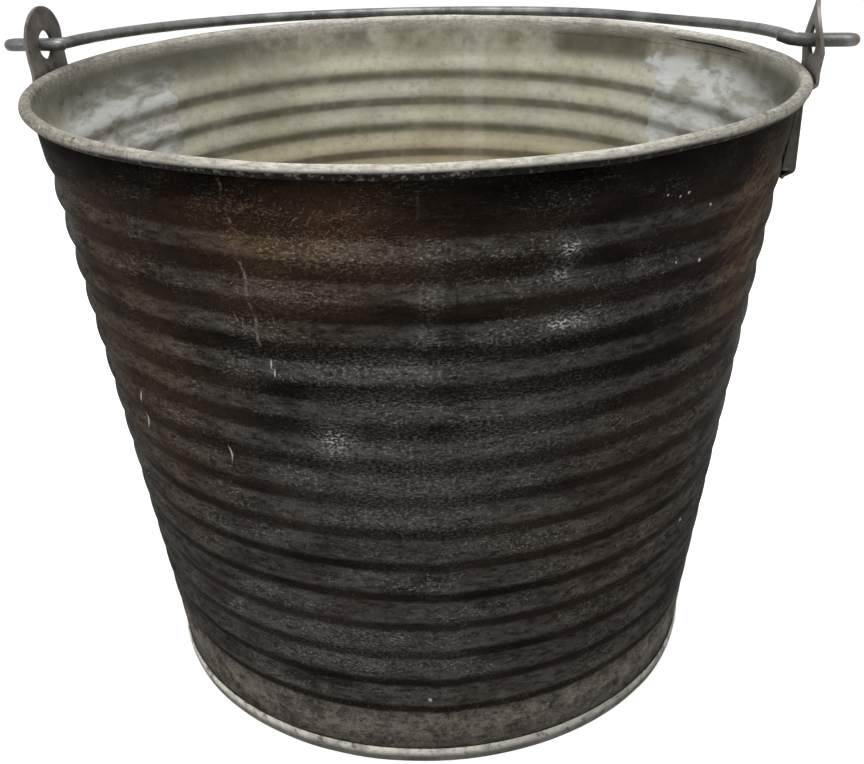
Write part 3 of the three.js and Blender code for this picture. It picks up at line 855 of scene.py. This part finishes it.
# each ear is one stamped plate, bent round the bead, boxed below it and riveted to the wall
earSet = {
    "sheet": 1.4,
    "width": 34,
    "headRadius": 15.4,
    "tongueWidth": 30,
    "tongueDrop": 48.5,
    "webDrop": 36,
    "webFootOut": 3.8,
    "holeRise": 12.3,
    "holeRadius": 5.7,
    "jogDrop": 1.8,
    "bend": 1.0,
    "sideGap": 0.3,
    "extraRows": (14, 22),  # below the rim
    "neckSteps": 8,
    "spokes": (16, 48),  # under the strap's corners and over them
    "sideSteps": (8, 4),  # up and across
    "rings": 6,
    "round": 0.3,
    "roundOver": 50,  # degrees between two faces
    "weld": 0.02,
    # twists: heights above the rim and degrees turned there
    "left": {"side": -1, "headOut": 4.2, "twists": ((3, 0), (18, -4))},
    "right": {"side": 1, "headOut": 3.6, "twists": ((3, 0), (10, 3.5), (25, -8))},
    "metal": 0.35,
    "gloss": 0.4,
    "grit": 0.12,
    "dark": (0.065, 0.057, 0.047),
    "light": (0.14, 0.128, 0.108),
    "pit": (0.035, 0.028, 0.022),
    "stain": (0.026, 0.019, 0.014),
    "pale": (0.3, 0.285, 0.25),
    # stained webs and two spots on the left ear: place and size
    "stains": [
        ((154, 0, 224), (16, 30, 25)), ((-154, 0, 224), (16, 30, 25)),
        ((-155, -3, 256), (4, 1.5, 1.5)), ((-155, 4, 256.5), (4, 2, 1.2)),
    ],
}
earSheet = earSet["sheet"]
webTop = rimHeight - 2 * curlOuter
webFoot = rimHeight - earSet["webDrop"] + earSheet
tongueTop = rimHeight - earSet["webDrop"] - earSheet
tongueFoot = rimHeight - earSet["tongueDrop"]
holeHeight = rimHeight + earSet["holeRise"]


def onWall(height):
    return wallRadius(height) + wallSet["clearance"]


def webReach(height):  # the web leans a little less than the wall
    low = wallRadius(webFoot) + earSet["webFootOut"] + earSheet / 2
    high = onWall(webTop) + earSheet / 2
    return low + (high - low) * (height - webFoot) / (webTop - webFoot)


def earLine(pose):
    # the plate's middle, seen from its edge, from the tongue's foot to the head's top
    half = earSheet / 2
    besideRim = rimRadius + curlOuter + wallSet["clearance"] + half
    hole = rimRadius + pose["headOut"]
    rise = earSet["holeRise"]
    bends = [Vector(p) for p in ((besideRim, rimHeight), (besideRim, rimHeight + rise / 2),
                                 (hole, rimHeight + rise / 2), (hole, holeHeight))]
    neck = []
    for step in range(earSet["neckSteps"] + 1):
        t = step / earSet["neckSteps"]
        weights = ((1 - t) ** 3, 3 * t * (1 - t) ** 2, 3 * t * t * (1 - t), t ** 3)
        neck.append(sum((b * w for b, w in zip(bends, weights)), Vector((0, 0))))
    headTop = earSet["headRadius"] + earSheet
    return filleted([
        (onWall(tongueFoot) + half, tongueFoot), (onWall(tongueTop) + half, tongueTop),
        (webReach(webFoot), webFoot), (webReach(webTop), webTop), (besideRim, rimHeight - earSet["jogDrop"]),
        *neck, (hole, holeHeight + headTop),
    ], earSet["bend"], 3)


def twisted(point, pose):  # the head is bent out of true, more towards its top
    pivot = Vector((rimRadius + pose["headOut"], 0, 0))
    heights, turns = zip(*pose["twists"])
    turn = float(np.interp(point[2] - rimHeight, heights, turns))
    return Matrix.Rotation(math.radians(turn), 3, "Z") @ (Vector(point) - pivot) + pivot


def lineReach(line, height):
    for lower, upper in zip(line, line[1:]):
        if lower.y <= height <= upper.y:
            return lower.x + (upper.x - lower.x) * (height - lower.y) / max(upper.y - lower.y, 1e-6)
    return line[0].x if height < line[0].y else line[-1].x


def earOutline(angle):
    # how far the head's edge is from the hole's centre, along a spoke
    side, rise = earSet["width"] / 2, earSet["holeRise"]
    c, s = math.cos(angle), math.sin(angle)
    if s >= 0:
        return earSet["headRadius"]
    # the edge runs from the head's side to the strap's full width at the rim
    flare = (side - earSet["headRadius"]) / rise
    slant = abs(c) + flare * s
    return min(rise / -s, earSet["headRadius"] / slant) if slant > 0.01 else rise / -s


def makeEar(place):
    pose = earSet[place]
    line = earLine(pose)
    points, faces = [], []

    def addGrid(rows):  # a grid of points, all rows of one length
        base, count = len(points), len(rows[0])
        for row in rows:
            points.extend(row)
        for r in range(len(rows) - 1):
            for c in range(count - 1):
                at = base + r * count + c
                faces.append((at, at + 1, at + count + 1, at + count))

    def onPlate(y, height):
        return (lineReach(line, height), y, height)

    # head: spokes from the hole to the edge, with the strap's two corners on spokes
    corner = math.atan2(-earSet["holeRise"], earSet["width"] / 2)
    low, high = math.pi - corner - 2 * math.pi, corner
    few, many = earSet["spokes"]
    under = [low + (high - low) * step / few for step in range(few + 1)]
    above = [high + (2 * math.pi + low - high) * step / many for step in range(1, many)]
    spokes = under + above + [under[0] + 2 * math.pi]
    rows = []
    for ring in range(earSet["rings"] + 1):
        share = ring / earSet["rings"]
        row = []
        for spoke in spokes:
            reach = earSet["holeRadius"] + (earOutline(spoke) - earSet["holeRadius"]) * share
            row.append(onPlate(reach * math.cos(spoke), holeHeight + reach * math.sin(spoke)))
        rows.append(row)
    addGrid(rows)
    # strap, web and tongue, below the rim's height
    stops = {round(p.y, 3) for p in line if tongueFoot <= p.y < rimHeight}
    stops = sorted(stops | {rimHeight - drop for drop in earSet["extraRows"]})
    rows = []
    for height in [rimHeight, *reversed(stops)]:
        flare = smoothStep(tongueTop, webFoot, height)
        half = earSet["tongueWidth"] / 2 + (earSet["width"] - earSet["tongueWidth"]) / 2 * flare
        row = []
        for spoke in under:
            y = earOutline(spoke) * math.cos(spoke)
            row.append(onPlate(y * half / (earSet["width"] / 2), height))
        rows.append(row)
    addGrid(rows)
    # wedge-shaped sides from the web back to the wall
    up, across = earSet["sideSteps"]
    for edge in (-1, 1):
        y = edge * (earSet["width"] / 2 - earSheet / 2)
        rows = []
        for step in range(up + 1):
            height = webFoot + (webTop - webFoot) * step / up
            inner = math.sqrt(onWall(height) ** 2 - y * y) + earSet["sideGap"]
            deep = webReach(height) - inner
            rows.append([(inner + deep * share / across, y, height) for share in range(across + 1)])
        addGrid(rows if edge > 0 else [row[::-1] for row in rows])
    points = [twisted(p, pose) for p in points]
    ear = newPiece("pail_ear_" + place, points, faces)
    if pose["side"] < 0:
        ear.data.transform(Matrix.Rotation(math.pi, 4, "Z"))
    thicken = ear.modifiers.new("plate", "SOLIDIFY")
    thicken.thickness = earSheet * mm
    thicken.offset = 0
    soften = ear.modifiers.new("edge", "BEVEL")
    soften.width = earSet["round"] * mm
    soften.segments = 2
    soften.limit_method = "ANGLE"
    soften.angle_limit = math.radians(earSet["roundOver"])
    weld = ear.modifiers.new("weld", "WELD")
    weld.merge_threshold = earSet["weld"] * mm
    ear.modifiers.move(2, 0)
    ear.modifiers.new("shade", "WEIGHTED_NORMAL")
    return ear


def earMaterial():
    paint = earSet
    material, tree, shader = newMaterial("ear_zinc", paint["metal"], paint["gloss"])
    clouds = grain(tree, 60, 5, 0.65)
    colour = blendColour(tree, spread(tree, clouds, 0.35, 0.65), paint["dark"], paint["light"])
    pits = times(tree, spread(tree, grain(tree, 300, 3, 0.6), 0.58, 0.7), 0.6)
    colour = blendColour(tree, pits, colour, paint["pit"])
    for place, size in paint["stains"]:
        stain = spotAt(tree, place, size, 0, 0.35, 0.3, 200)
        colour = blendColour(tree, times(tree, stain, 0.7), colour, paint["stain"])
    pale = times(tree, spread(tree, grain(tree, 180, 4, 0.7, shift=(0.4, 0, 0)), 0.6, 0.72), 0.5)
    colour = blendColour(tree, pale, colour, paint["pale"])
    bumps = grain(tree, 500, 4, 0.65)
    finishPaint(tree, shader, colour, spread(tree, clouds, 0.3, 0.7, 0.62, 0.42), bumps, paint["grit"])
    return material


earZinc = earMaterial()
for place in ("left", "right"):
    ear = makeEar(place)
    ear.data.materials.append(earZinc)
    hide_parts("ear_" + place)
    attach(ear, "pail")
print("ears made")


# two rivets go through each ear's web and the wall
rivetSet = {
    "radius": 2.0,
    "headRadius": 3.2,
    "headHeight": 1.2,
    "insideHeight": 0.2,
    "seatGap": 0.05,
    "dent": 0.06,
    "sink": 2.9,
    "domeSteps": 6,
    "spread": 10,
    "columns": 28,
}


def makeRivet(place, row):
    side = earSet[place]["side"]
    y = rivetSet["spread"] * (1 if row == "back" else -1)
    height = webTop - rivetSet["sink"]
    radius = wallRadius(height)
    turn = math.asin(rivetSet["spread"] / radius)
    head = rivetSet["headRadius"]
    outside = webReach(height) + earSheet / 2 - radius * math.cos(turn) + head * (taper + math.tan(turn))
    inside = -sheet - rivetSet["seatGap"]

    def dome(seat, tall):
        steps = rivetSet["domeSteps"]
        rises = [math.radians(90 * step / steps) for step in range(steps)]
        return [(head * math.cos(rise), seat + tall * math.sin(rise)) for rise in rises]

    low, high = dome(inside, -rivetSet["insideHeight"]), dome(outside, rivetSet["headHeight"])
    profile = [*reversed(low), (rivetSet["radius"], inside), (rivetSet["radius"], outside), *high]
    columns = rivetSet["columns"]
    points = []
    for reach, z in profile:
        for column in range(columns):
            angle = 2 * math.pi * column / columns
            dent = 1 + rivetSet["dent"] * noise.noise(Vector((math.cos(angle), math.sin(angle), z + y)))
            points.append((reach * dent * math.cos(angle), reach * dent * math.sin(angle), z))
    faces = ringFaces(len(profile), columns, False)
    faces.append(tuple(range(columns))[::-1])
    faces.append(tuple(range((len(profile) - 1) * columns, len(profile) * columns)))
    marks = {"level": [height / rimHeight] * len(points), "lee": [0.5] * len(points)}
    rivet = newPiece(f"pail_rivet_{place}_{row}", points, faces, marks)
    around = math.asin(y / radius) * side + (math.pi if side < 0 else 0)
    turned = Matrix.Rotation(around, 4, "Z") @ Matrix.Translation((radius * mm, 0, height * mm))
    rivet.data.transform(turned @ Matrix.Rotation(math.pi / 2 + math.atan(taper), 4, "Y"))
    return rivet


for place in ("left", "right"):
    for row in ("front", "back"):
        rivet = makeRivet(place, row)
        rivet.data.materials.append(dullZinc)
        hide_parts(f"rivet_{place}_{row}")
        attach(rivet, "pail")
print("rivets made")


# the bail is one wire with a hairpin hook through each ear
bailSet = {
    "wire": 2.4,
    "inset": 2.5,
    "bend": 6,
    "hairpinReach": 12,
    "hairpinGap": 0.6,
    "tail": {"left": 10, "right": 14.5},
    "tailRise": {"left": 0, "right": 2.0},
    "sag": (115, 32, 1.2),  # where along, half length, depth of a bend at the right
    "unevenness": 0.02,
    "endTaper": 0.82,
    "arcSteps": 60,
    "bendSteps": 8,
    "hairpinSteps": 16,
    "tailSteps": 6,
    "springSteps": 3,  # how many of those are sprung up
    "sides": 20,
    "metal": 0.7,
    "gloss": 0.45,
    "grit": 0.1,
    "dark": (0.068, 0.068, 0.067),
    "light": (0.16, 0.16, 0.157),
    "pale": (0.29, 0.285, 0.27),
    "rust": (0.20, 0.085, 0.035),
    "rustSize": (3.5, 4, 4),
    "rustPast": 5,  # beyond the middle of the loop's bend
}


def bailPath():
    rest = (curlOuter + bailSet["wire"] + wallSet["clearance"]) * math.sqrt(0.5)
    crown = Vector((rimRadius + rest, rest - earSet["holeRise"]))
    arc = rimRadius - bailSet["inset"]
    strand = bailSet["wire"] + bailSet["hairpinGap"] / 2
    centre = crown.length - arc
    bendHeight = strand + bailSet["bend"]
    bendReach = math.sqrt((arc + bailSet["bend"]) ** 2 - (bendHeight - centre) ** 2)
    arcEnd = math.atan2(bendHeight - centre, bendReach)

    def half(place):
        side = earSet[place]["side"]
        hole = rimRadius + earSet[place]["headOut"]
        hairpin = hole + bailSet["hairpinReach"]
        line = []
        steps, bend = bailSet["arcSteps"], bailSet["bend"]
        for step in range(1, steps + 1):
            angle = math.pi / 2 + (arcEnd - math.pi / 2) * step / steps
            line.append((arc * math.cos(angle), centre + arc * math.sin(angle)))
        steps = bailSet["bendSteps"]
        for step in range(1, steps + 1):
            angle = arcEnd + math.pi + (math.pi / 2 - arcEnd) * step / steps
            line.append((bendReach + bend * math.cos(angle), bendHeight + bend * math.sin(angle)))
        line.append(((bendReach + hairpin) / 2, strand))
        steps = bailSet["hairpinSteps"]
        for step in range(steps + 1):
            angle = math.pi * step / steps
            line.append((hairpin + strand * math.sin(angle), strand * math.cos(angle)))
        tailEnd = hole - bailSet["tail"][place]
        steps = bailSet["tailSteps"]
        line += [(hairpin + (tailEnd - hairpin) * step / steps, -strand) for step in range(1, steps + 1)]
        path = [Vector((side * x, y, 0)) for x, y in line]
        sprung = bailSet["springSteps"]
        for step in range(1, sprung + 1):  # the tail's end is sprung up past the ear
            path[step - sprung - 1].z = bailSet["tailRise"][place] * (step / sprung) ** 2
        return path

    path = [*reversed(half("left")), Vector((0, crown.length, 0)), *half("right")]
    along, reach, depth = bailSet["sag"]
    for at in path:
        if at.y > strand * 2:
            at.z -= depth * hump(at.x, along, reach)
    lay = Matrix.Translation((0, 0, holeHeight)) @ Matrix.Rotation(math.atan2(crown.y, crown.x), 4, "X")
    return path, lay


def makeBail():
    path, lay = bailPath()
    sides = bailSet["sides"]
    up = Vector((0, 0, 1))
    points = []
    last = len(path) - 1
    for index, at in enumerate(path):
        along = (path[min(index + 1, last)] - path[max(index - 1, 0)]).normalized()
        across = along.cross(up).normalized()
        thin = 1 + bailSet["unevenness"] * noise.noise(at / 9)
        end = min(index, last - index)
        for side in range(sides):
            angle = 2 * math.pi * side / sides
            reach = bailSet["wire"] * thin * (bailSet["endTaper"] if end == 0 else 1)
            points.append(lay @ (at + (across * math.cos(angle) + up * math.sin(angle)) * reach))
    faces = ringFaces(len(path), sides, False)
    faces.append(tuple(range(sides))[::-1])
    faces.append(tuple(range(last * sides, (last + 1) * sides)))
    return newPiece("pail_bail", points, faces)


def bailMaterial():
    paint = bailSet
    material, tree, shader = newMaterial("bail_wire", paint["metal"], paint["gloss"])
    clouds = grain(tree, 70, 5, 0.65)
    colour = blendColour(tree, spread(tree, clouds, 0.35, 0.65), paint["dark"], paint["light"])
    pale = spread(tree, grain(tree, 260, 4, 0.7, shift=(0.2, 0.6, 0)), 0.58, 0.72, 0.0, 0.6)
    colour = blendColour(tree, pale, colour, paint["pale"])
    # rust at the right loop's end
    end = rimRadius + earSet["right"]["headOut"] + bailSet["hairpinReach"] + paint["rustPast"]
    rust = spotAt(tree, (end, 0, holeHeight), paint["rustSize"], 0, 0.5, 0.4, 300)
    colour = blendColour(tree, rust, colour, paint["rust"])
    bumps = grain(tree, 450, 4, 0.6)
    finishPaint(tree, shader, colour, spread(tree, clouds, 0.3, 0.7, 0.52, 0.36), bumps, paint["grit"])
    return material


bail = makeBail()
bail.data.materials.append(bailMaterial())
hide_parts("bail")
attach(bail, "bail")
print("bail made")


# a plain pale floor, a white surround and two soft studio lamps
stageSet = {
    "floor": 6.0,
    "floorColour": (0.86, 0.86, 0.85, 1),
    "floorGlow": 0.5,
    "floorRoughness": 0.9,
    "aim": (0, 0, 0.13),
    "worldLight": 0.55,
    "lamps": [  # name, place, size, watts
        ("overhead", (0.05, -0.15, 1.3), 1.0, 18),
        ("front_left", (-0.9, -1.1, 0.9), 0.9, 6),
    ],
}


def makeStage():
    half = stageSet["floor"]
    points = [(x / mm, y / mm, 0) for x, y in ((-half, -half), (half, -half), (half, half), (-half, half))]
    floor = newPiece("floor", points, [(0, 1, 2, 3)])
    material, tree, shader = newMaterial("floor_paper", 0.0, 0.0)
    shader.inputs["Base Color"].default_value = stageSet["floorColour"]
    shader.inputs["Roughness"].default_value = stageSet["floorRoughness"]
    shader.inputs["Emission Color"].default_value = (1, 1, 1, 1)
    path = tree.nodes.new("ShaderNodeLightPath")
    glow = times(tree, path.outputs["Is Camera Ray"], stageSet["floorGlow"])
    tree.links.new(glow, shader.inputs["Emission Strength"])
    floor.data.materials.append(material)

    world = bpy.data.worlds.new("studio")
    bpy.context.scene.world = world
    world.use_nodes = True
    tree = world.node_tree
    path = tree.nodes.new("ShaderNodeLightPath")
    seen = mathNode(tree, "ADD", path.outputs["Is Camera Ray"], path.outputs["Is Glossy Ray"], True)
    seen = mathNode(tree, "ADD", seen, path.outputs["Is Transmission Ray"], True)
    light = spread(tree, seen, 0, 1, stageSet["worldLight"], 1.0)
    background = tree.nodes["Background"]
    background.inputs["Color"].default_value = (1, 1, 1, 1)
    tree.links.new(light, background.inputs["Strength"])

    for name, place, size, watts in stageSet["lamps"]:
        data = bpy.data.lights.new(name, "AREA")
        data.size = size
        data.energy = watts
        lamp = bpy.data.objects.new(name, data)
        bpy.context.scene.collection.objects.link(lamp)
        lamp.location = place
        toPail = Vector(stageSet["aim"]) - Vector(place)
        lamp.rotation_euler = toPail.to_track_quat("-Z", "Y").to_euler()


makeStage()
bpy.context.scene.view_settings.view_transform = "Standard"
print("stage lit")
